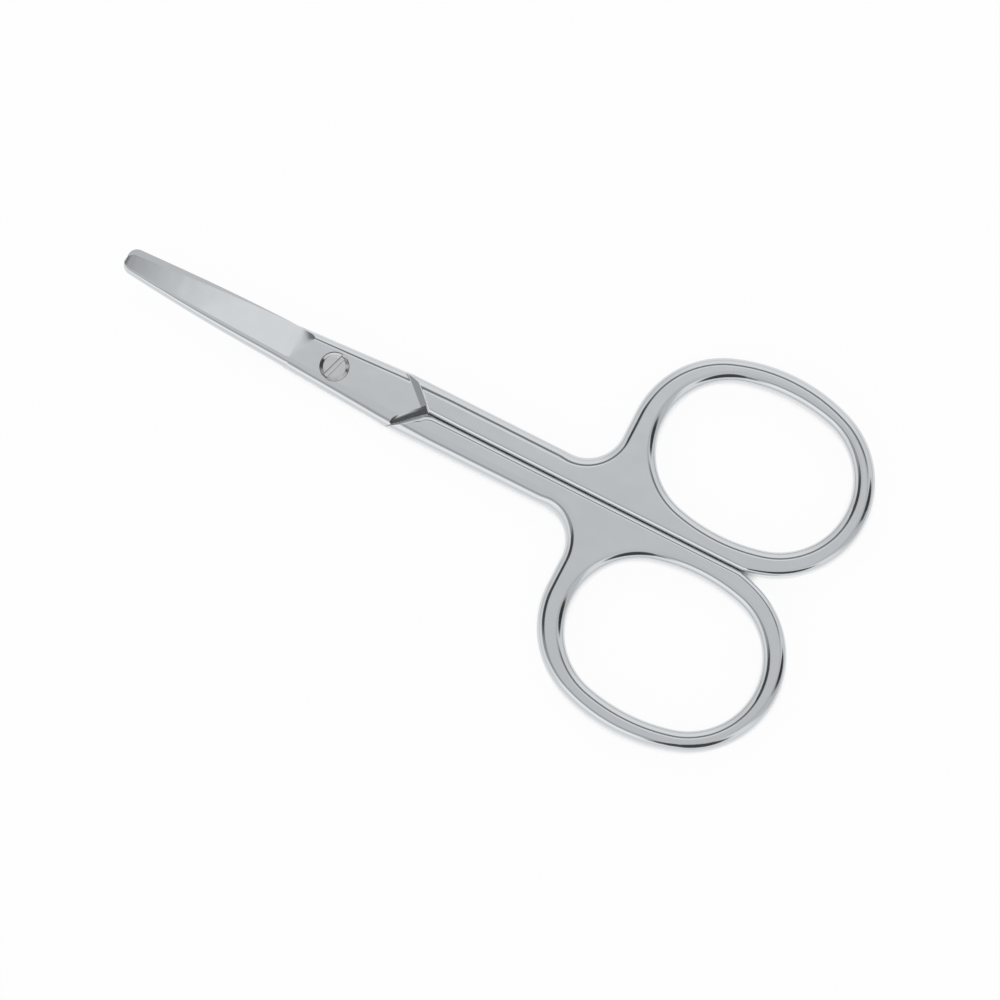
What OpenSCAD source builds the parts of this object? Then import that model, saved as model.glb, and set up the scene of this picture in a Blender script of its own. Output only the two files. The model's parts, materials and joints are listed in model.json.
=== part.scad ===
// Small curved-blade scissors with rounded tips and two finger bows, shown closed.
// Lengths are in millimetres and angles in degrees. X runs from the blade tips to the bows,
// Y across the scissors and Z up from the table that the handles lie on.
// Both halves are drawn about the pivot, with Z = 0 on the plane where they slide, and then placed.

/* [Blades] */
// Pivot centre to the tip of the blades
blade_length = 27.4; // [22:0.1:36]
// Width of a blade where it leaves the joint
blade_root_width = 5.2; // [4.6:0.1:6.2]
// Pivot centre to the place where the blade's own taper starts
blade_root = 5; // [4.5:0.1:6]
// Thickness of each blade
blade_thickness = 0.75; // [0.6:0.01:0.85]
// Radius of the rounded tip of each blade
tip_radius = 1.2; // [0.9:0.05:1.5]
// Sideways distance of each tip from the centre line when closed
tip_offset = 0.4; // [0.2:0.05:0.6]
// Height that the blades curve up by at their tips
tip_rise = 1.3; // [0.4:0.1:2.5]
// Radius about the pivot inside which the sliding faces are flat
flat_radius = 6; // [5:0.1:8]
// Width of the bevel behind the cutting edge
edge_bevel_width = 0.35; // [0.2:0.05:0.6]
// Thickness that the bevel leaves at the cutting edge
edge_land = 0.2; // [0.1:0.05:0.4]
// Width of the bevel along the back of the blade
back_bevel_width = 0.45; // [0.2:0.05:0.8]
// Depth of the bevel along the back of the blade
back_bevel_depth = 0.35; // [0.1:0.05:0.45]

/* [Joint] */
// Thickness of each half at the pivot
joint_thickness = 1; // [0.95:0.01:1.15]
// Total gap between the two sliding faces
slide_gap = 0.08; // [0.04:0.01:0.16]
// Pivot centre to the point where the two lap shoulders meet
lap_point = 12.2; // [10.5:0.1:15]
// Angle of each lap shoulder to the centre line
lap_angle = 42.5; // [36:0.5:52]
// Gap between a lap shoulder and the half that slides under it
lap_gap = 0.06; // [0.04:0.01:0.15]
// Width of the bevel on the joint's end, beside the other half's shoulder
lap_bevel_width = 1; // [0.5:0.05:1.2]
// Depth of that bevel
lap_bevel_depth = 0.55; // [0.2:0.05:0.7]
// Radius of the joint's upper edges
joint_edge_radius = 0.75; // [0.4:0.05:0.85]
// Pivot centre to the ground step between joint and blade, on the centre line
grind_place = 4.3; // [3.6:0.1:5]
// Angle of that step to the line across the scissors
grind_angle = 32; // [0:1:40]
// Radius of the wheel that ground the step
grind_radius = 4; // [2:0.5:8]

/* [Pivot screw] */
// Diameter of the countersunk head
head_d = 3.4; // [3:0.1:3.8]
// Diameter of the plain shoulder that the front half turns on
shoulder_d = 2.1; // [1.8:0.05:2.3]
// Diameter of the threaded end
thread_d = 1.6; // [1.2:0.05:1.7]
// Height of the head's straight rim above its cone
head_rim = 0.15; // [0.05:0.05:0.25]
// Running clearance round the shoulder and the head, on the radius
turn_gap = 0.04; // [0.02:0.01:0.08]
// Width of the screwdriver slot
slot_w = 0.6; // [0.4:0.05:0.8]
// Depth of the screwdriver slot
slot_depth = 0.4; // [0.2:0.05:0.5]
// Direction of the slot
slot_angle = 72; // [0:1:180]

/* [Handles] */
// Pivot centre to the far end of the bows
bow_end = 63; // [56:0.5:75]
// Thickness of the shanks and bows
handle_thickness = 2.6; // [2.4:0.1:3.2]
// Width of each shank
shank_width = 3.35; // [3:0.05:4]
// Gap between the two shanks when closed
shank_gap = 0.1; // [0.06:0.02:0.3]
// Radius of the handles' rounded edges
edge_radius = 0.9; // [0.6:0.05:1.1]
// Length of the finger hole
hole_length = 23.5; // [20:0.5:27]
// Width of the finger hole
hole_width = 18; // [16:0.5:20]
// Radius of the finger hole's ends
hole_end_radius = 8.6; // [7.4:0.1:8.8]
// Width of the bar round the finger hole
bow_bar = 2.65; // [2.3:0.05:3.2]
// Width of that bar on the shank's side
web_bar = 3.4; // [3:0.05:4]
// Depth ground off the bows where the two of them meet
contact_flat = 0.5; // [0.3:0.05:0.7]
// Radius of the hollow between shank and bow
web_radius = 4.5; // [3:0.1:5.5]

/* [Hidden] */

half_t = handle_thickness / 2;
slide_z = slide_gap / 2;
contact_y = shank_gap / 2;
shank_y = contact_y + shank_width;

// Cutting tools reach this far outside the metal
tool_reach = 3;
// Pieces of one half run this far into each other
weld = 0.4;
// Straight steps in a rounded edge
round_steps = 5;
// Straight steps in the ends of an oval, in its sides and in the hollow beside the shank
end_steps = 20;
side_steps = 5;
hollow_steps = 8;

// Four-arc oval of the finger hole
hole_a = hole_length / 2;
hole_b = hole_width / 2;
hole_x = bow_end - bow_bar - hole_a;
hole_y = contact_y + bow_bar + hole_b;

// Four-arc oval of the bow's outside
bow_a = hole_a + (bow_bar + web_bar) / 2;
bow_b = hole_b + bow_bar + contact_flat / 2;
bow_x = bow_end - bow_a;
bow_y = contact_y - contact_flat + bow_b;
bow_end_radius = hole_end_radius + bow_bar;
web_x = bow_x - bow_a;

// Lap joint
lap_x = lap_point - shank_y / tan(lap_angle);
lap_length = shank_y / sin(lap_angle);
taper = atan2(shank_y - blade_root_width / 2, lap_x + blade_root);

// Blades
tip_x = tip_radius - blade_length;
curve_run = blade_length - flat_radius;
curve_radius = (curve_run * curve_run + tip_rise * tip_rise) / (2 * tip_rise);
curve_steps = 14;
tip_steps = 7;
blade_top = slide_z + blade_thickness;
step_height = joint_thickness - blade_top;
grind_run = sqrt(2 * grind_radius * step_height);
grind_sink = 0.02;

// The blade starts here on the centre line, just inside the joint plate
root_x = grind_end(0) + weld;

// Screw
cone_depth = (head_d - shoulder_d) / 2;
head_depth = head_rim + cone_depth;

// Where the scissors' own centre lies, for the placing at the end
centre_x = (bow_end - blade_length) / 2;

function half_width(x) = blade_root_width / 2 + (x + blade_root) * tan(taper);
function side_radius(a, b, r) = ((a - r) * (a - r) + b * b - r * r) / (2 * (b - r));
function side_depth(a, b, r) = side_radius(a, b, r) - b;
function join_angle(a, b, r) = atan2(side_depth(a, b, r), a - r);

// Where the joint plate ends under the ground step, at a distance from the centre line
function grind_end(y) = y * tan(grind_angle)
    - grind_place - (grind_run - weld / 2) / cos(grind_angle);

// Height of the sliding faces at a distance from the pivot
function rise(d) = d < flat_radius ? 0
    : curve_radius - sqrt(curve_radius * curve_radius - (d - flat_radius) * (d - flat_radius));

// Where the lap shoulder lies at a distance from the centre line, drawn in by a distance
function shoulder_x(y, in) = lap_point + lap_gap - y / tan(lap_angle) + in / sin(lap_angle);

// Points of an arc, without its last one
function arc(centre, radius, from, to, steps) = [
    for (i = [0 : steps - 1])
    let (a = from + (to - from) * i / steps)
    centre + radius * [cos(a), sin(a)]
];

// Finger hole, widened by a distance
function hole_loop(out) =
    let (
        side_r = side_radius(hole_a, hole_b, hole_end_radius) + out,
        side_h = side_depth(hole_a, hole_b, hole_end_radius),
        join = join_angle(hole_a, hole_b, hole_end_radius),
        end_k = hole_a - hole_end_radius,
        end_r = hole_end_radius + out,
        middle = [hole_x, hole_y]
    )
    concat(
        arc(middle + [end_k, 0], end_r, -join, join, end_steps),
        arc(middle - [0, side_h], side_r, join, 180 - join, side_steps),
        arc(middle - [end_k, 0], end_r, 180 - join, 180 + join, end_steps),
        arc(middle + [0, side_h], side_r, 180 + join, 360 - join, side_steps)
    );

// Outside of a shank and its bow, drawn in by a distance; it starts where the bow leaves the
// other half's bow, because the whole outline can be seen from there
function handle_loop(in) =
    let (
        side_r = side_radius(bow_a, bow_b, bow_end_radius) - in,
        side_h = side_depth(bow_a, bow_b, bow_end_radius),
        join = join_angle(bow_a, bow_b, bow_end_radius),
        end_k = bow_a - bow_end_radius,
        end_r = bow_end_radius - in,
        leave = acos((bow_y + side_h - contact_y - in) / side_r),
        middle = [bow_x, bow_y],
        hollow = [web_x - web_radius, shank_y + web_radius]
    )
    concat(
        arc(middle + [0, side_h], side_r, 270 + leave, 360 - join, 2),
        arc(middle + [end_k, 0], end_r, -join, join, end_steps),
        arc(middle - [0, side_h], side_r, join, 180 - join, side_steps),
        arc(middle - [end_k, 0], end_r, 180 - join, 180, end_steps / 2),
        arc(middle - [end_k, 0], end_r, 180, 180, 1),
        arc(hollow, web_radius + in, 0, -90, hollow_steps),
        arc(hollow, web_radius + in, -90, -90, 1),
        [[shoulder_x(shank_y - in, in), shank_y - in]],
        [[shoulder_x(contact_y + in, in), contact_y + in]]
    );

// Rounded edge as pairs of height and distance from the wall, from the wall to the flat
function edge_profile() = [
    for (i = [0 : round_steps])
    let (a = 90 * i / round_steps)
    [half_t - edge_radius + edge_radius * sin(a), edge_radius * (1 - cos(a))]
];

// Solid through a row of loops of equal length, each anticlockwise seen from the row's end.
// Its two ends are filled with triangles that fan out from their loop's first point.
module loft(loops) {
    n = len(loops[0]);
    last = len(loops) - 1;
    polyhedron(
        points = [for (loop = loops) each loop],
        faces = concat(
            [for (i = [1 : n - 2]) [0, i, i + 1]],
            [for (j = [0 : last - 1], i = [0 : n - 1])
                let (a = j * n + i, b = j * n + (i + 1) % n)
                each [[a, a + n, b + n], [a, b + n, b]]],
            [for (i = [1 : n - 2]) [0, i + 1, i] + last * [n, n, n]]
        )
    );
}

function at_height(loop, z) = [for (p = loop) [p[0], p[1], z]];

// The same profile below the middle and above it
function both_sides(profile) = concat(
    [for (i = [len(profile) - 1 : -1 : 0]) [-profile[i][0], profile[i][1]]],
    profile
);

module handle_blank() {
    levels = both_sides(edge_profile());
    loft([for (l = levels) at_height(handle_loop(l[1]), l[0])]);
}

// The hole's tool follows its rounded edges and runs out above and below the metal
module finger_hole() {
    edge = edge_profile();
    flare = edge[round_steps] - edge[round_steps - 1];
    levels = both_sides(concat(
        [for (i = [0 : round_steps - 1]) edge[i]],
        [edge[round_steps] + flare, edge[round_steps] + flare + [tool_reach, 0]]
    ));
    loft([for (l = levels) at_height(hole_loop(l[1]), l[0])]);
}

// Sweeps a section along a straight line: x is the distance to the line's right, y the height
module sweep(start, heading, length) {
    translate(start)
        rotate([90, 0, heading + 90])
            linear_extrude(length)
                mirror([1, 0])
                    children();
}

module handle() {
    difference() {
        handle_blank();
        finger_hole();
    }
}

// Section that the joint's rounded upper edge removes
module joint_section() {
    arc = [for (i = [0 : round_steps])
        let (a = 90 - 90 * i / round_steps)
        [joint_edge_radius * (cos(a) - 1),
         joint_thickness - joint_edge_radius + joint_edge_radius * sin(a)]];
    polygon(concat(
        [[tool_reach, joint_thickness + tool_reach],
         [-joint_edge_radius, joint_thickness + tool_reach]],
        arc,
        [[0, -tool_reach], [tool_reach, -tool_reach]]
    ));
}

// Flat half of the lap joint, which carries the pivot
module joint_plate() {
    edge_run = (lap_x + 2 * blade_root + tool_reach) / cos(taper);
    bevel_z = joint_thickness - lap_bevel_depth;
    difference() {
        translate([0, 0, slide_z])
            linear_extrude(joint_thickness - slide_z)
                polygon([
                    [grind_end(-shank_y), -shank_y],
                    [lap_x - lap_gap, -shank_y],
                    [lap_point - lap_gap, 0],
                    [lap_point, weld],
                    [lap_x + 2 * weld, shank_y - weld],
                    [lap_x, shank_y],
                    [grind_end(shank_y), shank_y]
                ]);
        sweep([lap_x + tool_reach, half_width(lap_x + tool_reach)], 180 + taper, edge_run)
            joint_section();
        sweep([-2 * blade_root, -half_width(-2 * blade_root)], -taper, edge_run)
            joint_section();
        sweep([lap_point - lap_gap - 2 * lap_length * cos(lap_angle),
               -2 * lap_length * sin(lap_angle)], lap_angle, 2 * lap_length)
            polygon([
                [0, bevel_z],
                [tool_reach, bevel_z],
                [tool_reach, joint_thickness + tool_reach],
                [-lap_bevel_width, joint_thickness + tool_reach],
                [-lap_bevel_width, joint_thickness]
            ]);
        translate([-grind_place, 0, blade_top + grind_radius - grind_sink])
            rotate(-grind_angle)
                translate([-grind_run, 0, 0])
                    rotate([90, 0, 0])
                        cylinder(r = grind_radius, h = 6 * shank_y, center = true, $fn = 96);
    }
}

// Distances from the centre line to the blade's back and to its cutting edge
function back_y(x) = x < tip_x
    ? tip_offset + sqrt(tip_radius * tip_radius - (x - tip_x) * (x - tip_x))
    : lookup(x, [[tip_x, tip_offset + tip_radius], [root_x, half_width(root_x)]]);
function edge_y(x) = x < tip_x
    ? sqrt(tip_radius * tip_radius - (x - tip_x) * (x - tip_x)) - tip_offset
    : lookup(x, [[tip_x, tip_radius - tip_offset], [root_x, half_width(root_x)]]);

// A point of a blade, a height above the sliding face that curves up away from the pivot
function blade_point(x, y, height, side) =
    [x, side * y, rise(norm([x, y])) + side * (slide_z + height)];

// Section of a blade; slant moves the cutting edge's side towards the pivot
function blade_loop(x, slant, side) =
    let (
        lean = slant * tan(grind_angle),
        shrink = min(1, (x + blade_length) / tip_radius),
        back = -back_y(x),
        edge = edge_y(x),
        back_w = back_bevel_width * shrink,
        edge_w = edge_bevel_width * shrink,
        top = blade_thickness
    )
    [
        blade_point(x + lean * edge, edge, 0, side),
        blade_point(x + lean * back, back, 0, side),
        blade_point(x + lean * back, back, top - back_bevel_depth, side),
        blade_point(x + lean * (back + back_w), back + back_w, top, side),
        blade_point(x + lean * (edge - edge_w), edge - edge_w, top, side),
        blade_point(x + lean * edge, edge, edge_land, side)
    ];

// A blade; side is 1 for the front one and -1 for the back one
module blade(side) {
    stations = [for (i = [0 : curve_steps]) root_x + (tip_x - root_x) * i / curve_steps];
    tip_stations = [for (i = [1 : tip_steps - 1]) tip_x - tip_radius * sin(90 * i / tip_steps)];
    loft([
        for (i = [0 : curve_steps]) blade_loop(stations[i], 1 - i / curve_steps, side),
        for (x = tip_stations) blade_loop(x, 0, side)
    ]);
}

// Hole for the screw's head and shoulder, with room for the front half to turn
module screw_seat() {
    shoulder_r = shoulder_d / 2 + turn_gap;
    head_r = head_d / 2 + turn_gap;
    cone_z = joint_thickness - head_depth - turn_gap;
    cylinder(r = shoulder_r, h = 2 * handle_thickness, center = true, $fn = 96);
    translate([0, 0, cone_z])
        cylinder(r1 = shoulder_r, r2 = head_r, h = cone_depth, $fn = 96);
    translate([0, 0, cone_z + cone_depth])
        cylinder(r = head_r, h = handle_thickness, $fn = 96);
}

module thread_hole() {
    cylinder(r = thread_d / 2, h = 2 * handle_thickness, center = true, $fn = 96);
}

// Puts a piece that is drawn about the pivot on the table, centred
module placed() {
    translate([-centre_x, 0, half_t])
        children();
}

module back_half() {
    color("silver")
        placed()
            difference() {
                union() {
                    rotate([180, 0, 0]) {
                        handle();
                        joint_plate();
                    }
                    blade(-1);
                }
                thread_hole();
            }
}

module front_half() {
    color("gainsboro")
        placed()
            difference() {
                union() {
                    handle();
                    joint_plate();
                    blade(1);
                }
                screw_seat();
            }
}

module pivot_screw() {
    color("lightgray")
        placed()
            difference() {
                union() {
                    translate([0, 0, -joint_thickness])
                        cylinder(d = thread_d, h = joint_thickness, $fn = 96);
                    translate([0, 0, -slide_z])
                        cylinder(d = shoulder_d, h = joint_thickness, $fn = 96);
                    translate([0, 0, joint_thickness - head_depth])
                        cylinder(d1 = shoulder_d, d2 = head_d, h = cone_depth, $fn = 96);
                    translate([0, 0, joint_thickness - head_rim])
                        cylinder(d = head_d, h = head_rim, $fn = 96);
                }
                translate([0, 0, joint_thickness])
                    rotate(slot_angle)
                        cube([2 * head_d, slot_w, 2 * slot_depth], center = true);
            }
}

back_half();
front_half();
pivot_screw();
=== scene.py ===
import json
import math

import bpy
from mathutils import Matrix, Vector


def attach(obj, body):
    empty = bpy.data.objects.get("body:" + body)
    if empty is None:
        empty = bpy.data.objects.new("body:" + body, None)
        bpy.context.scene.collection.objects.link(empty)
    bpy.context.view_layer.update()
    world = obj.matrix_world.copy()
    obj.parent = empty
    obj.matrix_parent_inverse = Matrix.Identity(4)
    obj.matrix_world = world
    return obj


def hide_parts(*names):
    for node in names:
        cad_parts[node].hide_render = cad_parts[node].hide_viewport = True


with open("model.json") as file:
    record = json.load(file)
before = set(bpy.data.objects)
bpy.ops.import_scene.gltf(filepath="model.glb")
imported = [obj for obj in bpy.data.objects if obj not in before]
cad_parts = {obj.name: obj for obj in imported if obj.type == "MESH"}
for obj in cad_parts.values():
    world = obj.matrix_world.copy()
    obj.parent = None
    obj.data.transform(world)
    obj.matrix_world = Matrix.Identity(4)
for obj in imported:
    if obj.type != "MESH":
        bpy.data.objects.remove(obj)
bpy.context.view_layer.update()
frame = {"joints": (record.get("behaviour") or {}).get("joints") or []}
bpy.ops.object.select_all(action="DESELECT")
print("frame loaded")

# Pieces are modelled in millimetres about the pivot, with the sliding plane at z = 0,
# and scaled to metres and moved to the pivot at the end.
pivotPlace = Vector(frame["joints"][0]["pos_m"])
mmToMetres = 0.001
near = 0.001  # lengths that differ by less count as the same


def tangent(degrees):
    return math.tan(math.radians(degrees))


def sine(degrees):
    return math.sin(math.radians(degrees))


def cosine(degrees):
    return math.cos(math.radians(degrees))


# Helpers for modelling by hand: pick parts of a mesh in code, then run the operators on them

def pick(piece, kind, test):  # leaves edit mode on, with the parts that pass the test selected
    bpy.ops.object.select_all(action="DESELECT")
    bpy.context.view_layer.objects.active = piece
    piece.select_set(True)
    bpy.ops.object.mode_set(mode="EDIT")
    bpy.ops.mesh.select_mode(type=kind)
    bpy.ops.mesh.select_all(action="DESELECT")
    bpy.ops.object.mode_set(mode="OBJECT")
    mesh = piece.data
    parts = {"VERT": mesh.vertices, "EDGE": mesh.edges, "FACE": mesh.polygons}[kind]
    for part in parts:
        part.select = test(part)
    bpy.ops.object.mode_set(mode="EDIT")


def editAll(piece):
    bpy.ops.object.select_all(action="DESELECT")
    bpy.context.view_layer.objects.active = piece
    piece.select_set(True)
    bpy.ops.object.mode_set(mode="EDIT")
    bpy.ops.mesh.select_all(action="SELECT")


def leaveEdit():
    bpy.ops.object.mode_set(mode="OBJECT")


def startPoint(name, x, y, z):  # a piece with one vertex, to draw an outline from
    bpy.ops.object.select_all(action="DESELECT")
    bpy.ops.mesh.primitive_plane_add(size=1, location=(0, 0, 0))
    piece = bpy.context.object
    piece.name = name
    bpy.ops.object.mode_set(mode="EDIT")
    bpy.ops.mesh.select_mode(type="VERT")
    bpy.ops.mesh.select_all(action="SELECT")
    bpy.ops.mesh.merge(type="CENTER")
    bpy.ops.transform.translate(value=(x, y, z))
    return piece


def lineTo(dx, dy, dz=0):
    bpy.ops.mesh.extrude_vertices_move(TRANSFORM_OT_translate={"value": (dx, dy, dz)})


def arcTo(centre, degrees, steps, axis=(0, 0, 1)):  # anticlockwise seen against the axis
    bpy.ops.mesh.spin(steps=steps, angle=-math.radians(degrees), center=centre, axis=axis)


def closeOutline():
    bpy.ops.mesh.select_all(action="SELECT")
    bpy.ops.mesh.remove_doubles(threshold=near / 2)
    bpy.ops.mesh.select_all(action="SELECT")
    bpy.ops.mesh.edge_face_add()


def pull(dx, dy, dz):
    bpy.ops.mesh.extrude_region_move(TRANSFORM_OT_translate={"value": (dx, dy, dz)})


def faceOut(piece):
    editAll(piece)
    bpy.ops.mesh.normals_make_consistent(inside=False)
    leaveEdit()


def applyAll(piece):
    bpy.ops.object.select_all(action="DESELECT")
    bpy.context.view_layer.objects.active = piece
    piece.select_set(True)
    for modifier in list(piece.modifiers):
        bpy.ops.object.modifier_apply(modifier=modifier.name)


def combine(piece, other, operation):  # boolean with a piece that is used up
    cut = piece.modifiers.new(operation.lower(), "BOOLEAN")
    cut.operation = operation
    cut.solver = "EXACT"
    cut.object = other
    applyAll(piece)
    bpy.data.objects.remove(other, do_unlink=True)


def copyOf(piece, name):
    twin = piece.copy()
    twin.data = piece.data.copy()
    twin.name = name
    bpy.context.scene.collection.objects.link(twin)
    return twin


def turn(piece, degrees, axis):  # anticlockwise seen against the axis
    editAll(piece)
    bpy.ops.transform.rotate(value=-math.radians(degrees), orient_axis=axis,
                             center_override=(0, 0, 0))
    leaveEdit()


# Handle: shank, web and bow in one plate with round edges

handleSize = {
    "thickness": 2.6,
    "edgeWidth": 1.15,  # the round edge reaches this far in from the outline
    "edgeDepth": 0.88,  # and this far down
    "edgeSteps": 12,
    "contactEdge": 0.66,  # the round edge's width where the shanks face each other
    "contactUnderEdge": 0.7,  # and there on the under side
    "stepEdge": 0.4,  # and at the step down to the joint plate
    "shoulderEdge": 0.7,  # and at the shoulder that the other half stops against
    "shankEdge": 1.35,  # and along the shank's outer side
    "shankUnderEdge": 1.6,  # and there on the under side, the widest of all
    "partingWidth": 20,  # the contact width grows to the full one over this distance
    "apexCorner": 0.8,  # rounding of the shoulder's inner corner
    "apexSteps": 10,
    "bowEnd": 63,
    "shankWidth": 3.35,
    "shankGap": 0.1,
    "holeLength": 23.5,
    "holeWidth": 18,
    "holeEndRadius": 8.6,
    "bowBar": 2.65,
    "webBar": 3.4,
    "contactFlat": 0.5,
    "acrossScale": 0.9975,  # keeps the bows inside the model's box
    "hollowRadius": 4.5,  # between the shank and the bow
    "endSteps": 44,
    "sideSteps": 12,
    "leaveSteps": 4,
    "hollowSteps": 28,
    "besideArc": 1,  # extra outline points this far from the arcs keep the edges' widths apart
    "besideApex": 4,  # and this far from the shoulder's inner corner
    "besideShoulder": 5,  # and from its outer corner
    "holeMargin": 0.6,  # edges nearer to the finger hole than this belong to it
}
lapSize = {
    "point": 12.2,
    "angle": 42.5,
    "gap": 0.06,
    "bevelWidth": 0.95,
    "bevelDepth": 0.4,
    "bevelSkew": 4,  # the bevel narrows towards its outer end
    "coveWidth": 0.62,
    "coveRadius": 0.6,
    "coveSlope": 14,
    "coveSteps": 6,
    "coveBelow": 0.3,  # the cove's solid reaches this far into the plate
    "coveInside": 0.2,  # and this far into the shank
    "coveLength": 8,
    "coveShank": 0.01,  # and stays this far from the shank's face
    "centreGap": 0.02,  # and from the centre line
    "toolReach": 3,  # cutting tools stand this far out of the metal
    "toolBefore": 1,  # and start this far before the centre line
}
contactY = handleSize["shankGap"] / 2
shankY = contactY + handleSize["shankWidth"]


def ovalArcs(a, b, endRadius):  # four-arc oval: its sides' radius and depth, its ends' angle
    sideRadius = ((a - endRadius) ** 2 + b * b - endRadius ** 2) / (2 * (b - endRadius))
    sideDepth = sideRadius - b
    endAngle = math.degrees(math.atan2(sideDepth, a - endRadius))
    return sideRadius, sideDepth, endAngle


def shoulderX(y):  # the shoulder's slanting line, at a distance from the centre line
    return lapSize["point"] + lapSize["gap"] - y / tangent(lapSize["angle"])


def makeHoleTool():
    s = handleSize
    a, b = s["holeLength"] / 2, s["holeWidth"] / 2
    x, y = s["bowEnd"] - s["bowBar"] - a, contactY + s["bowBar"] + b
    endRadius = s["holeEndRadius"]
    sideRadius, sideDepth, endAngle = ovalArcs(a, b, endRadius)
    reach = a - endRadius
    tool = startPoint("hole_tool", x + reach + endRadius * cosine(endAngle),
                      y - endRadius * sine(endAngle), -s["thickness"])
    arcTo((x + reach, y, 0), 2 * endAngle, s["endSteps"])
    arcTo((x, y - sideDepth, 0), 180 - 2 * endAngle, s["sideSteps"])
    arcTo((x - reach, y, 0), 2 * endAngle, s["endSteps"])
    arcTo((x, y + sideDepth, 0), 180 - 2 * endAngle, s["sideSteps"])
    closeOutline()
    pull(0, 0, 2 * s["thickness"])
    leaveEdit()
    faceOut(tool)
    return tool


def makeHandle():
    s = handleSize
    endRadius = s["holeEndRadius"] + s["bowBar"]
    a = s["holeLength"] / 2 + (s["bowBar"] + s["webBar"]) / 2
    b = s["holeWidth"] / 2 + s["bowBar"] + s["contactFlat"] / 2
    x, y = s["bowEnd"] - a, contactY - s["contactFlat"] + b
    sideRadius, sideDepth, endAngle = ovalArcs(a, b, endRadius)
    reach = a - endRadius
    leave = math.degrees(math.acos((y + sideDepth - contactY) / sideRadius))
    leaveX = x + sideRadius * sine(leave)
    webX = x - a
    hollow = s["hollowRadius"]
    flatten = s["edgeDepth"] / s["edgeWidth"]  # round edges are bevelled circular, then flattened
    half = s["thickness"] / 2 / flatten

    handle = startPoint("handle", shoulderX(contactY), contactY, -half)
    lineTo(s["besideApex"], 0)
    lineTo(leaveX - s["besideArc"] - shoulderX(contactY) - s["besideApex"], 0)
    lineTo(s["besideArc"], 0)
    arcTo((x, y + sideDepth, 0), 90 - endAngle - leave, s["leaveSteps"])
    arcTo((x + reach, y, 0), 2 * endAngle, s["endSteps"])
    arcTo((x, y - sideDepth, 0), 180 - 2 * endAngle, s["sideSteps"])
    arcTo((x - reach, y, 0), endAngle, s["endSteps"] // 2)
    lineTo(0, shankY + hollow - y + s["besideArc"])
    lineTo(0, -s["besideArc"])
    arcTo((webX - hollow, shankY + hollow, 0), -90, s["hollowSteps"])
    lineTo(-s["besideArc"], 0)
    lineTo(shoulderX(shankY) + s["besideShoulder"] + s["besideArc"] - (webX - hollow), 0)
    lineTo(-s["besideShoulder"], 0)
    closeOutline()
    pull(0, 0, half)
    pull(0, 0, half)
    leaveEdit()
    faceOut(handle)

    # The shoulder that the other half stops against has a rounded corner at its inner end
    corners = handle.data.vertices

    def isApex(edge):
        one, two = (corners[i].co for i in edge.vertices)
        upright = abs(one.x - two.x) < near and abs(one.y - contactY) < near
        return upright and one.x < shoulderX(contactY) + 10 * near and one.z + two.z < -10 * near

    pick(handle, "EDGE", isApex)
    bpy.ops.mesh.bevel(offset=s["apexCorner"], segments=s["apexSteps"], profile=0.5,
                       affect="EDGES", clamp_overlap=False)
    leaveEdit()
    combine(handle, makeHoleTool(), "DIFFERENCE")

    # Every edge between a flat and the outline's wall gets its own share of the widest rounding
    corners = handle.data.vertices
    sides = {}  # how many wall faces meet at each edge
    for face in handle.data.polygons:
        if abs(face.normal.z) < 0.5:
            for key in face.edge_keys:
                sides[key] = sides.get(key, 0) + 1
    weights = handle.data.attributes.new("bevel_weight_edge", "FLOAT", "EDGE")
    holeX = s["bowEnd"] - s["bowBar"] - s["holeLength"] / 2
    holeY = contactY + s["bowBar"] + s["holeWidth"] / 2

    def outside(place):  # not on the hole's own edge
        along = (place.x - holeX) / (s["holeLength"] / 2 + s["holeMargin"])
        across = (place.y - holeY) / (s["holeWidth"] / 2 + s["holeMargin"])
        return along ** 2 + across ** 2 > 1

    for edge in handle.data.edges:
        one, two = (corners[i].co for i in edge.vertices)
        level = abs(one.z - two.z) <= near and abs(abs(one.z) - half) <= near
        if not level or sides.get(edge.key) != 1:
            continue
        middle = (one + two) / 2
        width = s["edgeWidth"]
        contact = s["contactEdge"] if middle.z > 0 else s["contactUnderEdge"]
        slantEnd = shoulderX(middle.y) + s["apexCorner"] + 50 * near
        if middle.y < contactY + near and middle.x < leaveX:
            width = contact
        elif middle.y < shankY - 10 * near and middle.x < slantEnd:
            width = s["stepEdge"] if middle.z > 0 else s["shoulderEdge"]
        elif outside(middle) and middle.x > leaveX - 100 * near:  # the bows part gradually
            share = min(1, (middle.y - contactY) / s["partingWidth"])
            width = contact + share * (s["edgeWidth"] - contact)
        elif outside(middle) and middle.x < webX + near:  # along the hollow and the shank
            bend = math.atan2(middle.x - webX + hollow, shankY + hollow - middle.y)
            share = min(1, max(0, 1 - math.degrees(bend) / 90))
            share = share * share * (3 - 2 * share)  # starts and ends softly
            widest = s["shankEdge"] if middle.z > 0 else s["shankUnderEdge"]
            width = s["edgeWidth"] + share * (widest - s["edgeWidth"])
        weights.data[edge.index].value = width / s["shankUnderEdge"]
    roundEdges = handle.modifiers.new("round_edges", "BEVEL")
    roundEdges.width = s["shankUnderEdge"]
    roundEdges.segments = s["edgeSteps"]
    roundEdges.limit_method = "WEIGHT"
    roundEdges.use_clamp_overlap = False
    applyAll(handle)
    editAll(handle)
    bpy.ops.transform.resize(value=(1, s["acrossScale"], flatten), center_override=(0, 0, 0))
    leaveEdit()
    return handle


# Joint plate and blade

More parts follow.
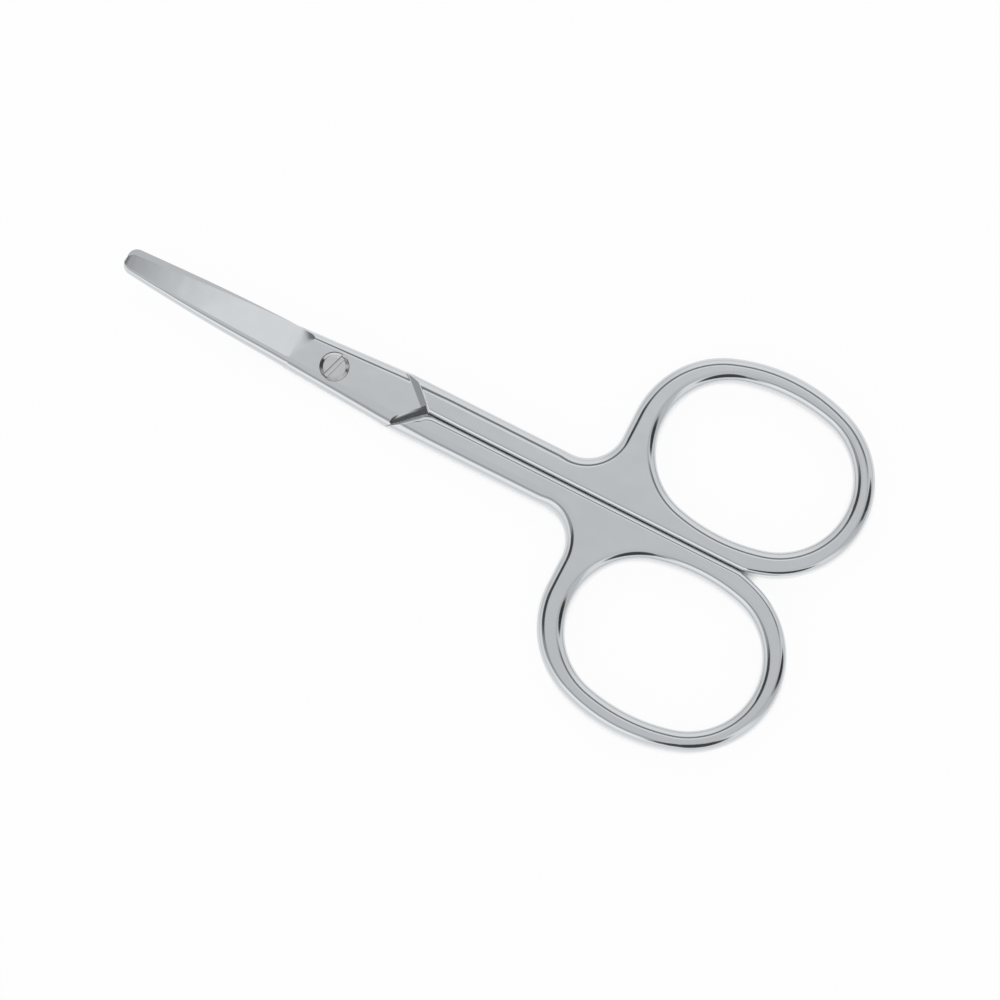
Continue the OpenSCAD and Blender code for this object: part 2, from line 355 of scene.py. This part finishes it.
jointSize = {
    "thickness": 1,
    "slideLevel": 0.04,
    "edgeWidth": 1.2,
    "edgeDepth": 0.8,
    "edgeSteps": 12,
    "backEdge": 1.8,  # the round edge is wider at the back, beside the shank
    "rootPlace": -5.19,  # the blades' taper starts here
    "rootHalfWidth": 2.589,
    "rootSteps": 8,
    "pastPoint": 0.3,  # the plate runs on past the lap's point, to be cut off
    "pastShare": 0.97,  # and narrows to this share there
    "wheelRadius": 9.5,
    "wheelPlace": -5.55,  # where the wheel that ground the blade's face stopped
    "wheelWidth": 24,
    "wheelSides": 720,
    "faceTilt": 4,
}
bladeSize = {
    "length": 27.3,
    "tipRadius": 1.2,
    "tipOffset": 0.4,
    "tipRise": 1.3,
    "flatRadius": 6,
    "edgeLand": 0.12,
    "edgeSlope": 0.12,
    "tipThickness": 0.72,  # share of the thickness that is left at the tip
    "tipBlunt": 0.85,  # and share of that at the rounded tip's very end
    "tipAngle": 88,  # the tip's quarter circle stops short of a point
    "drift": 0.4,  # the blades lean this far towards the front half's bow at the tip
    "driftStart": -6.2,
    "driftPower": 0.7,
    "bulge": 0.16,  # both sides of a blade swell by this on the way to the tip
    "bulgeStart": 0.05,
    "rootOverlap": 0.5,  # the blade starts this far inside the joint plate
    "steps": 26,
    "tipSteps": 9,
}
tipX = bladeSize["tipRadius"] - bladeSize["length"]


def rise(x):  # height that the blades have curved up by at a distance from the pivot
    run = bladeSize["length"] - bladeSize["flatRadius"]
    radius = (run ** 2 + bladeSize["tipRise"] ** 2) / (2 * bladeSize["tipRise"])
    past = max(0, abs(x) - bladeSize["flatRadius"])
    return radius - math.sqrt(radius ** 2 - past ** 2)


def bladeSides(x):  # distances of the back and of the cutting edge from the centre line
    s = bladeSize
    share = (x - jointSize["rootPlace"]) / (tipX - jointSize["rootPlace"])
    half = jointSize["rootHalfWidth"]
    swollen = min(1, max(0, share - s["bulgeStart"]) / (1 - s["bulgeStart"]))
    bulge = s["bulge"] * math.sin(math.pi * swollen)
    back = half + share * (s["tipOffset"] + s["tipRadius"] - half) + bulge
    edge = half + share * (s["tipRadius"] - s["tipOffset"] - half) + bulge
    if x < tipX:
        across = math.sqrt(max(0, s["tipRadius"] ** 2 - (x - tipX) ** 2))
        back, edge = s["tipOffset"] + across, across - s["tipOffset"]
    return back, edge


def drift(x):  # sideways lean of both blades at a distance from the pivot
    start = bladeSize["driftStart"]
    return bladeSize["drift"] * max(0, (x - start) / (tipX - start)) ** bladeSize["driftPower"]


def jointSection(name, x, back, edge, top):  # flat plate with round upper edges, seen along x
    s = jointSize
    flatten = s["edgeDepth"] / s["edgeWidth"]
    r, low, high = s["edgeWidth"], s["slideLevel"] / flatten, top / flatten
    piece = startPoint(name, x, edge, low)
    lineTo(0, -edge - back)
    lineTo(0, 0, high - r - low)
    arcTo((x, r - back, high - r), -90, s["edgeSteps"], axis=(1, 0, 0))
    lineTo(0, edge + back - 2 * r)
    arcTo((x, edge - r, high - r), -90, s["edgeSteps"], axis=(1, 0, 0))
    closeOutline()
    bpy.ops.mesh.select_all(action="SELECT")
    bpy.ops.transform.resize(value=(1, 1, flatten), center_override=(0, 0, 0))
    leaveEdit()
    return piece


def makeJointBlank(name, top):  # joint plate with square ends, up to a given height
    s = jointSize
    startX = shoulderX(shankY) - lapSize["gap"]
    joint = jointSection(name, startX, shankY, shankY, top)
    pick(joint, "VERT", lambda v: v.co.y < s["edgeWidth"] - shankY + near)
    bpy.ops.transform.resize(value=(1, s["backEdge"] / s["edgeWidth"], 1),
                             center_override=(0, -shankY, 0))
    leaveEdit()
    pick(joint, "FACE", lambda f: True)
    pull(lapSize["point"] + s["pastPoint"] - startX, 0, 0)
    bpy.ops.transform.resize(value=(1, s["pastShare"], 1), center_override=(0, 0, 0))
    leaveEdit()

    # The other way it narrows to the blade's root, and the wide round edge with it
    steps = s["rootSteps"]
    x, half, width = startX, shankY, s["backEdge"]
    for i in range(steps):
        pick(joint, "FACE", lambda f: abs(f.normal.x) > 0.9 and abs(f.center.x - x) < 10 * near)
        pull((s["rootPlace"] - startX) / steps, 0, 0)
        x += (s["rootPlace"] - startX) / steps
        narrower = half + (s["rootHalfWidth"] - shankY) / steps
        bpy.ops.transform.resize(value=(1, narrower / half, 1), center_override=(0, 0, 0))
        leaveEdit()
        width, half = width * narrower / half, narrower
        newWidth = s["backEdge"] + (s["edgeWidth"] - s["backEdge"]) * (i + 1) / steps
        pick(joint, "VERT", lambda v: abs(v.co.x - x) < 10 * near and v.co.y < width - half + near)
        bpy.ops.transform.resize(value=(1, newWidth / width, 1), center_override=(0, -half, 0))
        leaveEdit()
        width = newWidth
    pick(joint, "FACE", lambda f: abs(f.normal.x) > 0.9 and abs(f.center.x - x) < 10 * near)
    pull(s["wheelPlace"] - s["rootPlace"], 0, 0)
    back, edge = bladeSides(s["wheelPlace"])
    bpy.ops.transform.resize(value=(1, (back + edge) / (2 * s["rootHalfWidth"]), 1),
                             center_override=(0, 0, 0))
    bpy.ops.transform.translate(value=(0, (edge - back) / 2, 0))
    leaveEdit()
    faceOut(joint)
    return joint


def makeCove():  # rounded corner between the joint plate's face and the step up to the shank
    s = lapSize
    top = jointSize["thickness"]
    radius, slope, width, before = s["coveRadius"], s["coveSlope"], s["coveWidth"], s["toolBefore"]
    ramp = width - radius * sine(slope) + s["coveInside"]
    climb = ramp * tangent(slope)
    cove = startPoint("cove", -width, -before, top)
    arcTo((-width, -before, top + radius), -slope, s["coveSteps"], axis=(0, 1, 0))
    lineTo(ramp, 0, climb)
    lineTo(0, 0, -s["coveBelow"] - radius * (1 - cosine(slope)) - climb)
    lineTo(-s["coveInside"] - width, 0, 0)
    closeOutline()
    pull(0, s["coveLength"], 0)
    leaveEdit()
    faceOut(cove)
    turn(cove, 90 - s["angle"], "Z")
    editAll(cove)
    bpy.ops.transform.translate(value=(s["point"], 0, 0))
    bpy.ops.mesh.select_all(action="SELECT")
    bpy.ops.mesh.bisect(plane_co=(0, s["centreGap"], 0), plane_no=(0, 1, 0), clear_inner=True,
                        use_fill=True, threshold=near / 10)
    leaveEdit()
    tallJoint = makeJointBlank("tall_joint", handleSize["thickness"] / 2 - s["coveShank"])
    combine(cove, tallJoint, "INTERSECT")
    return cove


def makeJoint():
    s = jointSize
    top = s["thickness"]
    joint = makeJointBlank("joint", top)
    combine(joint, makeCove(), "UNION")

    limb = lapSize["angle"]
    editAll(joint)
    bpy.ops.mesh.bisect(plane_co=(lapSize["point"] - lapSize["gap"], 0, 0), clear_outer=True,
                        plane_no=(sine(limb), -cosine(limb), 0), use_fill=True,
                        threshold=near / 10)
    leaveEdit()

    # The wheel that ground the blade's face leaves a hollow where it stopped
    wheel, tilt = s["wheelRadius"], s["faceTilt"]
    back, edge = bladeSides(s["wheelPlace"])
    faceLevel = top - (back - s["edgeWidth"]) * tangent(tilt)
    bpy.ops.object.select_all(action="DESELECT")
    bpy.ops.mesh.primitive_cylinder_add(vertices=s["wheelSides"], radius=wheel,
                                        depth=s["wheelWidth"], location=(0, 0, 0),
                                        rotation=(math.pi / 2, 0, 0))
    tool = bpy.context.object
    bpy.ops.object.transform_apply(location=True, rotation=True)
    editAll(tool)
    bpy.ops.transform.translate(value=(0, 0, wheel))
    leaveEdit()
    turn(tool, -tilt, "X")
    editAll(tool)
    bpy.ops.transform.translate(value=(s["wheelPlace"], 0, faceLevel))
    leaveEdit()
    combine(joint, tool, "DIFFERENCE")

    # Steep bevel on the free end, beside the other half's shoulder
    width, depth, reach = lapSize["bevelWidth"], lapSize["bevelDepth"], lapSize["toolReach"]
    wedge = startPoint("wedge", 0, lapSize["toolBefore"], top - depth)
    lineTo(reach, 0, 0)
    lineTo(0, 0, reach)
    lineTo(-reach - width, 0, 0)
    lineTo(0, 0, depth - reach)
    closeOutline()
    pull(0, -2 * shankY / sine(limb), 0)
    leaveEdit()
    faceOut(wedge)
    turn(wedge, limb - 90 + lapSize["bevelSkew"], "Z")
    editAll(wedge)
    bpy.ops.transform.translate(value=(lapSize["point"] - lapSize["gap"], 0, 0))
    leaveEdit()
    combine(joint, wedge, "DIFFERENCE")
    return joint


def makeBlade(name, side):  # side is 1 for the front blade and -1 for the back one
    s = bladeSize
    top, low, r = jointSize["thickness"], jointSize["slideLevel"], jointSize["edgeWidth"]
    flatten = jointSize["edgeDepth"] / r
    slope = tangent(jointSize["faceTilt"]) / flatten
    x = jointSize["wheelPlace"] + s["rootOverlap"]
    back, edge = bladeSides(x)
    tip = edge - s["edgeSlope"]
    high = top / flatten
    blade = startPoint(name, x, side * edge, side * low / flatten)
    lineTo(0, -side * (edge + back))
    lineTo(0, 0, side * (high - r - low / flatten))
    arcTo((x, side * (r - back), side * (high - r)), -90, jointSize["edgeSteps"], axis=(1, 0, 0))
    lineTo(0, side * (tip + back - r), -side * (tip + back - r) * slope)
    lineTo(0, side * s["edgeSlope"],
           side * ((low + s["edgeLand"]) / flatten - high + (tip + back - r) * slope))
    closeOutline()
    bpy.ops.mesh.select_all(action="SELECT")
    bpy.ops.transform.resize(value=(1, 1, flatten), center_override=(0, 0, 0))
    leaveEdit()

    # The section is pulled to the tip in steps, each moved sideways, lifted and made smaller
    pick(blade, "FACE", lambda f: True)
    places = [x + (tipX - x) * (i + 1) / s["steps"] for i in range(s["steps"])]
    places += [tipX - s["tipRadius"] * sine(s["tipAngle"] * (i + 1) / s["tipSteps"])
               for i in range(s["tipSteps"])]
    height, edgeY = 1, side * edge + drift(x)
    for place in places:
        newBack, newEdge = bladeSides(place)
        newEdgeY = side * newEdge + drift(place)
        share = min(1, (place - jointSize["wheelPlace"]) / (tipX - jointSize["wheelPlace"]))
        newHeight = 1 - (1 - s["tipThickness"]) * max(0, share)
        if place < tipX:
            left = math.sqrt(max(0, 1 - ((place - tipX) / s["tipRadius"]) ** 2))
            newHeight *= s["tipBlunt"] + (1 - s["tipBlunt"]) * left
        pull(place - x, newEdgeY - edgeY, rise(place) - rise(x))
        narrower = (newBack + newEdge) / (back + edge)
        bpy.ops.transform.resize(value=(1, narrower, newHeight / height),
                                 center_override=(0, newEdgeY, rise(place) + side * low))
        back, edge, x, height, edgeY = newBack, newEdge, place, newHeight, newEdgeY
    leaveEdit()
    faceOut(blade)
    return blade


# Pivot screw

screwSize = {
    "headDiameter": 3.4,
    "shoulderDiameter": 2.1,
    "threadDiameter": 1.6,
    "threadChamfer": 0.1,
    "headRim": 0.15,  # height of the head's straight rim above its cone
    "turnGap": 0.04,
    "toolReach": 3,
    "slotWidth": 0.62,
    "slotDepth": 0.36,
    "slotAngle": 72,
    "slotCorner": 0.14,
    "slotSteps": 6,
    "faceRadius": 1.32,  # the head's face slopes away to its rim outside this
    "faceRound": ((0.03, -0.012), (-0.03, -0.006), (-0.2, 0)),  # out from there, and up
    "rimDrop": 0.1,
    "rimRound": 0.03,
    "sides": 96,
}


def turned(name, profile):  # spins pairs of radius and height round the z axis
    s = screwSize
    piece = startPoint(name, 0, 0, profile[0][1])
    for one, two in zip([(0, profile[0][1])] + profile, profile):
        if one != two:
            lineTo(two[0] - one[0], 0, two[1] - one[1])
    lineTo(-profile[-1][0], 0, 0)
    bpy.ops.mesh.select_all(action="SELECT")
    bpy.ops.mesh.spin(steps=s["sides"], angle=math.radians(360), center=(0, 0, 0),
                      axis=(0, 0, 1))
    bpy.ops.mesh.select_all(action="SELECT")
    bpy.ops.mesh.remove_doubles(threshold=near / 2)
    leaveEdit()
    faceOut(piece)
    return piece


def makeSeatTool():  # countersunk bore in the front half
    s = screwSize
    coneDepth = (s["headDiameter"] - s["shoulderDiameter"]) / 2
    coneLow = jointSize["thickness"] - s["headRim"] - coneDepth - s["turnGap"]
    shoulder = s["shoulderDiameter"] / 2 + s["turnGap"]
    head = s["headDiameter"] / 2 + s["turnGap"]
    return turned("seat_tool", [(shoulder, -s["toolReach"]), (shoulder, coneLow),
                                (head, coneLow + coneDepth), (head, s["toolReach"])])


def makeThreadTool():  # tapped hole in the back half
    radius, reach = screwSize["threadDiameter"] / 2, screwSize["toolReach"]
    return turned("thread_tool", [(radius, -reach), (radius, reach)])


def makeScrew():
    s = screwSize
    top = jointSize["thickness"]
    thread, shoulder = s["threadDiameter"] / 2, s["shoulderDiameter"] / 2
    head, chamfer, soft = s["headDiameter"] / 2, s["threadChamfer"], s["rimRound"]
    cone = top - s["headRim"] - head + shoulder
    low = -jointSize["slideLevel"]
    rim = top - s["rimDrop"]
    profile = [(thread - chamfer, -top), (thread, chamfer - top), (thread, low),
               (shoulder, low), (shoulder, cone), (head, top - s["headRim"]),
               (head, rim - soft), (head - soft / 3, rim - soft / 3), (head - soft, rim)]
    profile += [(s["faceRadius"] + out, top + up) for out, up in s["faceRound"]]
    screw = turned("screw", profile)
    bpy.ops.object.select_all(action="DESELECT")
    bpy.ops.mesh.primitive_cube_add(size=1, location=(0, 0, 0))
    slot = bpy.context.object
    editAll(slot)
    bpy.ops.transform.resize(value=(2 * s["headDiameter"], s["slotWidth"], 2 * s["slotDepth"]),
                             center_override=(0, 0, 0))
    bpy.ops.transform.translate(value=(0, 0, top))
    leaveEdit()
    corners = slot.data.vertices
    pick(slot, "EDGE", lambda e: all(corners[i].co.z < top for i in e.vertices)
         and corners[e.vertices[0]].co.y == corners[e.vertices[1]].co.y)
    bpy.ops.mesh.bevel(offset=s["slotCorner"], segments=s["slotSteps"], profile=0.5,
                       affect="EDGES")
    leaveEdit()
    turn(slot, s["slotAngle"], "Z")
    combine(screw, slot, "DIFFERENCE")
    return screw


# Finishing: soften the corners, smooth, and put the piece on the pivot in metres

finishSize = {
    "cornerAngle": 24,  # corners sharper than this are softened
    "cornerSteps": 3,
    "smoothAngle": 28,
    "flatWeight": 70,  # keeps the flats flat beside the round edges
    "screwCorner": 0.035,
}


def finishPiece(piece, name, softening):
    s = finishSize
    piece.name = name
    if softening:
        bevel = piece.modifiers.new("soft_corners", "BEVEL")
        bevel.width = softening
        bevel.segments = s["cornerSteps"]
        bevel.limit_method = "ANGLE"
        bevel.angle_limit = math.radians(s["cornerAngle"])
        bevel.use_clamp_overlap = True
        applyAll(piece)
    bpy.ops.object.select_all(action="DESELECT")
    bpy.context.view_layer.objects.active = piece
    piece.select_set(True)
    bpy.ops.object.shade_smooth_by_angle(angle=math.radians(s["smoothAngle"]))
    weights = piece.modifiers.new("face_weights", "WEIGHTED_NORMAL")
    weights.mode = "FACE_AREA"
    weights.weight = s["flatWeight"]
    weights.keep_sharp = True
    applyAll(piece)
    editAll(piece)
    bpy.ops.transform.resize(value=(mmToMetres,) * 3, center_override=(0, 0, 0))
    bpy.ops.transform.translate(value=pivotPlace)
    leaveEdit()
    print(name, "has", len(piece.data.polygons), "faces")


frontHalf = makeHandle()
print("handle drawn")
frontJoint = makeJoint()
print("joint plate drawn")

# The back half is the front half turned over, with a blade of its own
backHalf = copyOf(frontHalf, "back_handle")
backJoint = copyOf(frontJoint, "back_joint")
turn(backHalf, 180, "X")
turn(backJoint, 180, "X")

combine(frontHalf, frontJoint, "UNION")
combine(frontHalf, makeBlade("front_blade", 1), "UNION")
combine(frontHalf, makeSeatTool(), "DIFFERENCE")
finishPiece(frontHalf, "front_half_polished", 0)

combine(backHalf, backJoint, "UNION")
combine(backHalf, makeBlade("back_blade", -1), "UNION")
combine(backHalf, makeThreadTool(), "DIFFERENCE")
finishPiece(backHalf, "back_half_polished", 0)

pivotScrew = makeScrew()
finishPiece(pivotScrew, "pivot_screw_turned", finishSize["screwCorner"])
print("pieces modelled")


# Materials

platingSize = {  # lengths in metres
    "buffing": 0.003,  # width of the softly duller and glossier patches
    "buffingDetail": 4.0,
    "buffingRoughness": 0.55,
    "buffingStart": 0.3,
    "buffingEnd": 0.7,
    "glossiest": 0.07,
    "wave": 0.005,  # width of the faint waves that polishing leaves
    "waveDepth": 0.00003,
    "waveDetail": 2.0,
    "waveRoughness": 0.4,
}


def linear(hexColour):  # sRGB hex to the linear colour that the shaders take
    parts = [int(hexColour[i:i + 2], 16) / 255 for i in (1, 3, 5)]
    return tuple(p / 12.92 if p <= 0.04045 else ((p + 0.055) / 1.055) ** 2.4 for p in parts) + (1,)


def addNode(tree, kind, links=(), **settings):  # links pair an input's name with a socket
    node = tree.nodes.new(kind)
    for name, value in settings.items():
        if hasattr(node, name):
            setattr(node, name, value)
        else:
            node.inputs[name.replace("_", " ")].default_value = value
    for name, socket in links:
        tree.links.new(socket, node.inputs[name])
    return node


def addRange(tree, value, start, end, low, high, **settings):  # maps start..end to low..high
    node = addNode(tree, "ShaderNodeMapRange", [("Value", value)], **settings)
    for name, bound in (("From Min", start), ("From Max", end), ("To Min", low), ("To Max", high)):
        node.inputs[name].default_value = bound
    return node.outputs["Result"]


def polishedChrome(name, colour, dullest):
    s = platingSize
    material = bpy.data.materials.new(name)
    material.use_nodes = True
    tree = material.node_tree
    surface = tree.nodes["Principled BSDF"]
    surface.inputs["Base Color"].default_value = linear(colour)
    surface.inputs["Metallic"].default_value = 1
    place = addNode(tree, "ShaderNodeTexCoord")
    buffing = addNode(tree, "ShaderNodeTexNoise", [("Vector", place.outputs["Object"])],
                      Scale=1 / s["buffing"], Detail=s["buffingDetail"],
                      Roughness=s["buffingRoughness"])
    gloss = addRange(tree, buffing.outputs["Fac"], s["buffingStart"], s["buffingEnd"],
                     s["glossiest"], dullest)
    tree.links.new(gloss, surface.inputs["Roughness"])
    wave = addNode(tree, "ShaderNodeTexNoise", [("Vector", place.outputs["Object"])],
                   Scale=1 / s["wave"], Detail=s["waveDetail"], Roughness=s["waveRoughness"])
    bump = addNode(tree, "ShaderNodeBump", [("Height", wave.outputs["Fac"])],
                   Strength=1.0, Distance=s["waveDepth"])
    tree.links.new(bump.outputs["Normal"], surface.inputs["Normal"])
    return material


# Chrome plate over buffed forged steel: a cool grey mirror. The eye gets crisp dark and bright
# lines along the round edges, a little softer in some places than in others.
halfChrome = polishedChrome("polished_chrome_plating", "#D7DADD", 0.13)
# Nickel plate over a turned screw: a slightly warmer and duller grey, so that the head stands
# out from the plate round it
screwChrome = polishedChrome("turned_nickel_plating", "#D5D6D8", 0.2)

for piece, body, node, slot, material in (
        (frontHalf, "front", "front_half", "half_plating", halfChrome),
        (backHalf, "back", "back_half", "half_plating", halfChrome),
        (pivotScrew, "back", "pivot_screw", "screw_plating", screwChrome)):
    piece.data.materials.clear()
    piece.data.materials.append(material)
    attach(piece, body)
    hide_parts(node)
print("materials set")


# Stage: white floor, light painted on the sky by direction, camera as in the photograph

viewSize = {  # lengths in metres
    "turn": 27,  # degrees that the scissors lie turned clockwise in the photograph
    "tilt": 9,  # degrees that the camera leans from straight above, towards the picture's foot
    "distance": 1.0,
    "field": 0.1155,  # width that the picture takes in
    "target": (0.00636, -0.00519, 0.002),
}
floorSize = {
    "width": 4,
    "cuts": 3,
    "shadowReach": 0.0012,  # the painted contact shadow is this wide
    "shadowSamples": 6,
    "closed": 0.05,  # share of open sky at which the painted shadow is darkest
    "open": 0.5,  # and at which it has gone
    "darkest": 0.04,
    "glow": 1.03,
    "glowShare": 0.9,
}

bpy.ops.object.select_all(action="DESELECT")
bpy.ops.mesh.primitive_plane_add(size=floorSize["width"], location=(0, 0, 0))
floor = bpy.context.object
floor.name = "floor"
editAll(floor)
bpy.ops.mesh.subdivide(number_cuts=floorSize["cuts"])
leaveEdit()
# White paper: it glows evenly white to the camera and in the metal, and ambient occlusion darkens
# that glow into a painted grey shadow where the scissors touch it; its matt share keeps a faint
# real shadow
paper = bpy.data.materials.new("white_paper_sweep")
paper.use_nodes = True
tree = paper.node_tree
tree.nodes.clear()
seen = addNode(tree, "ShaderNodeLightPath")
either = addNode(tree, "ShaderNodeMath", [(0, seen.outputs["Is Camera Ray"]),
                                          (1, seen.outputs["Is Glossy Ray"])],
                 operation="MAXIMUM")
either = addNode(tree, "ShaderNodeMath", [(0, either.outputs[0]),
                                          (1, seen.outputs["Is Transmission Ray"])],
                 operation="MAXIMUM")
# Painted contact shadow: ambient occlusion dims the paper's glow near the scissors
nearness = addNode(tree, "ShaderNodeAmbientOcclusion", samples=floorSize["shadowSamples"],
                   Distance=floorSize["shadowReach"])
glowWithPaintedShadow = addRange(tree, nearness.outputs["AO"], floorSize["closed"], floorSize["open"],
                   floorSize["darkest"], floorSize["glow"], interpolation_type="SMOOTHSTEP")
shade = addNode(tree, "ShaderNodeMath", [(0, either.outputs[0]), (1, glowWithPaintedShadow)],
                operation="MULTIPLY")
glow = addNode(tree, "ShaderNodeEmission", [("Strength", shade.outputs[0])], Color=(1, 1, 1, 1))
matt = addNode(tree, "ShaderNodeBsdfDiffuse", Color=(0.95, 0.95, 0.95, 1))
mixed = addNode(tree, "ShaderNodeMixShader", [(1, matt.outputs[0]), (2, glow.outputs[0])],
                Fac=floorSize["glowShare"])
addNode(tree, "ShaderNodeOutputMaterial", [("Surface", mixed.outputs[0])])
floor.data.materials.append(paper)

camera = bpy.data.objects.new("camera", bpy.data.cameras.new("camera"))
bpy.context.scene.collection.objects.link(camera)
back = Vector((sine(viewSize["tilt"]) * sine(viewSize["turn"]),
               -sine(viewSize["tilt"]) * cosine(viewSize["turn"]), cosine(viewSize["tilt"])))
camera.location = Vector(viewSize["target"]) + viewSize["distance"] * back
camera.rotation_euler = (math.radians(viewSize["tilt"]), 0, math.radians(viewSize["turn"]))
camera.data.lens = camera.data.sensor_width * viewSize["distance"] / viewSize["field"]
camera.data.clip_start = 0.01
camera.data.clip_end = 20
bpy.context.scene.camera = camera

world = bpy.data.worlds.new("studio")
bpy.context.scene.world = world
world.use_nodes = True
tree = world.node_tree
tree.nodes.clear()
direction = addNode(tree, "ShaderNodeTexCoord").outputs["Generated"]
seen = addNode(tree, "ShaderNodeLightPath")

# Sectors and patches are in degrees clockwise in the photograph from its right-hand side, and
# in degrees from the zenith. Azimuth is counted from the upper left, so that its jump lies at
# the lower right.
upperLeft = 225


def pictureWay(degrees):  # level direction
    return Vector((cosine(viewSize["turn"] - degrees), sine(viewSize["turn"] - degrees), 0))


def skyPoint(zenithAngle, degrees):
    level = sine(zenithAngle) * pictureWay(degrees)
    return tuple(level + cosine(zenithAngle) * Vector((0, 0, 1)))


def dotWith(vector):
    node = addNode(tree, "ShaderNodeVectorMath", [(0, direction)], operation="DOT_PRODUCT")
    node.inputs[1].default_value = vector
    return node.outputs["Value"]


def sums(kind, a, b=None, c=None):  # maths node on sockets and constants
    node = addNode(tree, "ShaderNodeMath", operation=kind)
    for i, value in enumerate((a, b, c)):
        if value is None:
            continue
        if isinstance(value, (int, float)):
            node.inputs[i].default_value = value
        else:
            tree.links.new(value, node.inputs[i])
    return node.outputs[0]


def smoothBand(value, start, end):  # 0 below start, 1 above end
    return addRange(tree, value, start, end, 0, 1, interpolation_type="SMOOTHSTEP")


def lacking(mask):
    return sums("SUBTRACT", 1.0, mask)


def layered(total, layers):  # adds each mask, times its share
    for mask, share in layers:
        total = sums("MULTIPLY_ADD", mask, share, total)
    return total


def between(value, low, high, soft):  # 1 between low and high, where high may be a socket
    above = smoothBand(value, low - soft, low + soft)
    if not isinstance(high, (int, float)):
        below = smoothBand(sums("SUBTRACT", value, high), -soft, soft)
    else:
        below = smoothBand(value, high - soft, high + soft)
    return sums("MULTIPLY", above, lacking(below))


zenith = sums("DEGREES", sums("ARCCOSINE", dotWith((0, 0, 1))))
azimuth = sums("DEGREES", sums("ARCTAN2", dotWith(pictureWay(upperLeft + 90)),
                               dotWith(pictureWay(upperLeft))))


def around(start, end, soft):  # sector
    return between(azimuth, start - upperLeft, end - upperLeft, soft)


def patch(zenithMiddle, zenithReach, azimuthMiddle, azimuthReach, soft):
    up = sums("DIVIDE", sums("SUBTRACT", zenith, zenithMiddle), zenithReach)
    along = sums("DIVIDE", sums("SUBTRACT", azimuth, azimuthMiddle - upperLeft), azimuthReach)
    across = sums("SQRT", sums("ADD", sums("MULTIPLY", up, up), sums("MULTIPLY", along, along)))
    return lacking(smoothBand(across, 1 - soft, 1 + soft))


# A dark ring high round the sky gives the round edges their dark lines
ringShare = layered(0.0, [
    (around(104, 334, 8), 0.6),
    (around(190, 234, 8), 0.35),  # darker at the upper left
    (around(234, 334, 8), 0.18),  # and a little at the top
])
ringEnd = layered(37.0, [(around(168, 222, 12), 12.0)])  # and wider at the left
ring = sums("MULTIPLY", between(zenith, 22, ringEnd, 2.5), ringShare)
# Two dark lobes at its open side, at the picture's foot and at its right
lobes = sums("MAXIMUM", patch(42, 19, 84, 25, 0.2), patch(42, 19, 359, 13, 0.2))
dark = sums("MAXIMUM", ring, sums("MULTIPLY", lobes, 0.97))

# Inside the ring, the flats mirror a grey that is brighter in one spot and darker to the right
spotAcross = addNode(tree, "ShaderNodeVectorMath", [(0, direction)], operation="DISTANCE")
spotAcross.inputs[1].default_value = skyPoint(17, 278)
spot = lacking(smoothBand(spotAcross.outputs["Value"], 0.06, 0.152))
inner = layered(0.69, [(spot, 0.26), (smoothBand(dotWith(pictureWay(0)), 0.1, 0.25), -0.1)])

# Outside the ring, the edges mirror a brighter sky
outer = layered(0.95, [
    (patch(35, 45, 374, 24, 0.25), -0.3),  # darker at the right
    (around(195, 250, 12), -0.15),  # and at the upper left
    # brighter at the lower left, except near the horizon
    (sums("MULTIPLY", around(98, 150, 8), lacking(smoothBand(zenith, 50, 75))), 0.17),
    (around(318, 356, 8), -0.12),  # darker at the upper right
    (smoothBand(zenith, 55, 92), -0.15),  # and towards the horizon
])
bright = addNode(tree, "ShaderNodeMix", data_type="FLOAT")
tree.links.new(smoothBand(zenith, 20, 26), bright.inputs[0])
tree.links.new(inner, bright.inputs[2])
tree.links.new(outer, bright.inputs[3])
light = sums("MULTIPLY", bright.outputs[0], sums("MULTIPLY_ADD", dark, -0.96, 1.0))

# The camera itself sees plain white
strength = addNode(tree, "ShaderNodeMix", data_type="FLOAT")
tree.links.new(seen.outputs["Is Camera Ray"], strength.inputs[0])
tree.links.new(light, strength.inputs[2])
strength.inputs[3].default_value = 1
sky = addNode(tree, "ShaderNodeBackground", [("Strength", strength.outputs[0])], Color=(1, 1, 1, 1))
addNode(tree, "ShaderNodeOutputWorld", [("Surface", sky.outputs[0])])

bpy.context.scene.view_settings.view_transform = "Standard"
print("stage set")
